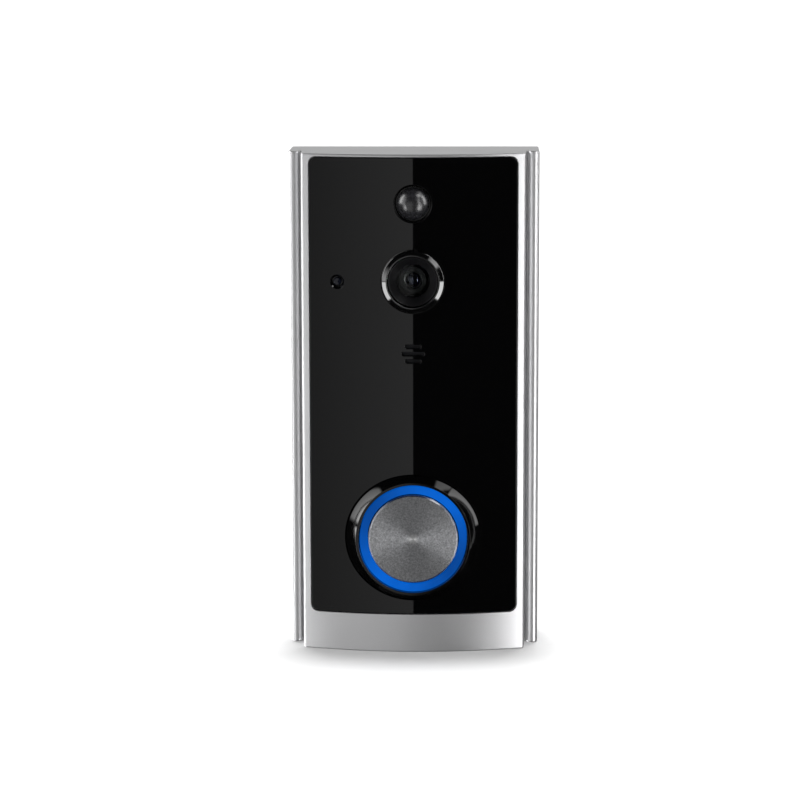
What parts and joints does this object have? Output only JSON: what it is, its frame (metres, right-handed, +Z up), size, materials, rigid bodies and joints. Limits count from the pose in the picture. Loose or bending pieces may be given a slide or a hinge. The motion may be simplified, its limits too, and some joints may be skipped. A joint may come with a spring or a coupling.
{
  "type": "video doorbell",
  "caption": "Upright battery video doorbell: silver bowed housing, black curved panel, dome sensor, camera, slots and a metal push button in a blue lit ring, on a frame-shaped wall bracket.",
  "frame": {"origin": "centre of the footprint, on the plane of the bottom end", "axes": "+Z up along the body, +Y towards the wall, so the front faces -Y; +X to the right of a viewer who faces the front"},
  "size_m": [0.07, 0.0336, 0.14],
  "materials": {
    "silver_housing": "satin silver paint, fine metallic grain",
    "gloss_black_panel": "polished black acrylic",
    "gloss_black_trim": "polished black moulded plastic",
    "foam_gasket": "adhesive foam",
    "dark_sensor_dome": "smoked polyethylene with moulded facets",
    "satin_black_plastic": "satin black moulding",
    "black_plastic": "fine spark-eroded texture",
    "white_plastic": "moulded",
    "clear_glass": "clear cover window",
    "coated_lens_glass": "coated lens",
    "smoked_light_pipe": "smoked clear plastic",
    "clear_epoxy": "clear epoxy lens on a white frame",
    "acoustic_mesh": "fine woven wire, dark",
    "blue_light_guide": "translucent polycarbonate, lit blue from behind",
    "spun_metal": "spun, with fine concentric turning lines and a bright chamfer",
    "spring_steel": "drawn wire",
    "tin_plate": "tinned sheet",
    "zinc_screw": "zinc-plated",
    "brass_part": "plain brass",
    "circuit_board": "green solder mask",
    "cell_sleeve": "shrink sleeve",
    "black_rubber": "moulded silicone"
  },
  "bodies": {
    "housing": {"front_housing": "silver_housing", "front_panel": "gloss_black_panel", "panel_gasket": "foam_gasket", "pir_lens": "dark_sensor_dome", "pir_collar": "black_plastic", "pir_sensor": "tin_plate", "camera_bezel": "gloss_black_trim", "lens_hood": "satin_black_plastic", "camera_window": "clear_glass", "lens_barrel": "satin_black_plastic", "front_lens": "coated_lens_glass", "camera_holder": "black_plastic", "light_pipe": "smoked_light_pipe", "light_sensor": "clear_epoxy", "speaker_mesh": "acoustic_mesh", "speaker": "black_plastic", "microphone": "tin_plate", "button_bezel": "gloss_black_trim", "light_ring": "blue_light_guide", "button_spring": "spring_steel", "switch_body": "black_plastic", "ring_led_1": "clear_epoxy", "ring_led_2": "clear_epoxy", "ring_led_3": "clear_epoxy", "ring_led_4": "clear_epoxy", "main_board": "circuit_board", "processor_shield": "tin_plate", "infrared_led_left": "clear_epoxy", "infrared_led_right": "clear_epoxy", "board_screw_left": "zinc_screw", "board_screw_right": "zinc_screw", "wifi_antenna": "brass_part", "power_board": "circuit_board", "board_header": "black_plastic", "usb_port": "tin_plate", "reset_switch": "black_plastic", "terminal_block": "black_plastic", "battery_1": "cell_sleeve", "battery_2": "cell_sleeve", "battery_spring_1": "spring_steel", "battery_spring_2": "spring_steel", "battery_contact": "tin_plate", "rear_cover": "black_plastic", "rear_seal": "black_rubber", "case_screw_bottom_left": "zinc_screw", "case_screw_bottom_right": "zinc_screw", "case_screw_top_left": "zinc_screw", "case_screw_top_right": "zinc_screw"},
    "button": {"button_cap": "spun_metal", "button_carrier": "black_plastic"},
    "switch_stem": {"switch_plunger": "white_plastic"},
    "battery_lid": {"battery_cover": "black_plastic"},
    "bracket": {"wall_bracket": "black_plastic"},
    "lock_screw": {"security_screw": "zinc_screw"},
    "wire_screw_1": {"terminal_screw_1": "brass_part"},
    "wire_screw_2": {"terminal_screw_2": "brass_part"},
    "reset_key": {"reset_button": "black_rubber"},
    "port_flap": {"usb_flap": "black_rubber"}
  },
  "joints": [
    {"name": "button_press", "type": "slide", "parent": "housing", "child": "button", "axis": [0, 1, 0], "range_m": [0, 0.0005], "stiffness_N_per_m": 4000, "deforming": ["button_spring"]},
    {"name": "switch_stroke", "type": "slide", "parent": "housing", "child": "switch_stem", "axis": [0, 1, 0], "range_m": [0, 0.0005]},
    {"name": "reset_press", "type": "slide", "parent": "housing", "child": "reset_key", "axis": [0, -1, 0], "range_m": [0, 0.0005], "stiffness_N_per_m": 1500},
    {"name": "battery_cover_lift", "type": "slide", "parent": "housing", "child": "battery_lid", "axis": [0, 1, 0], "range_m": [0, 0.012]},
    {"name": "bracket_lift", "type": "slide", "parent": "housing", "child": "bracket", "axis": [0, 1, 0], "range_m": [0, 0.025]},
    {"name": "lock_screw_turn", "type": "hinge", "parent": "housing", "child": "lock_screw", "pos_m": [0, 0.01418, 0], "axis": [0, 0, 1], "continuous": true},
    {"name": "wire_screw_1_turn", "type": "hinge", "parent": "housing", "child": "wire_screw_1", "pos_m": [0.0095, 0.013, 0.014], "axis": [0, 1, 0], "continuous": true},
    {"name": "wire_screw_2_turn", "type": "hinge", "parent": "housing", "child": "wire_screw_2", "pos_m": [0.0165, 0.013, 0.014], "axis": [0, 1, 0], "continuous": true},
    {"name": "flap_swing", "type": "hinge", "parent": "housing", "child": "port_flap", "pos_m": [-0.0196, 0.01498, 0.014], "axis": [0, 0, 1], "range_deg": [0, 90]}
  ],
  "couplings": [
    {"joint": "switch_stroke", "follows": "button_press", "ratio": 1}
  ]
}
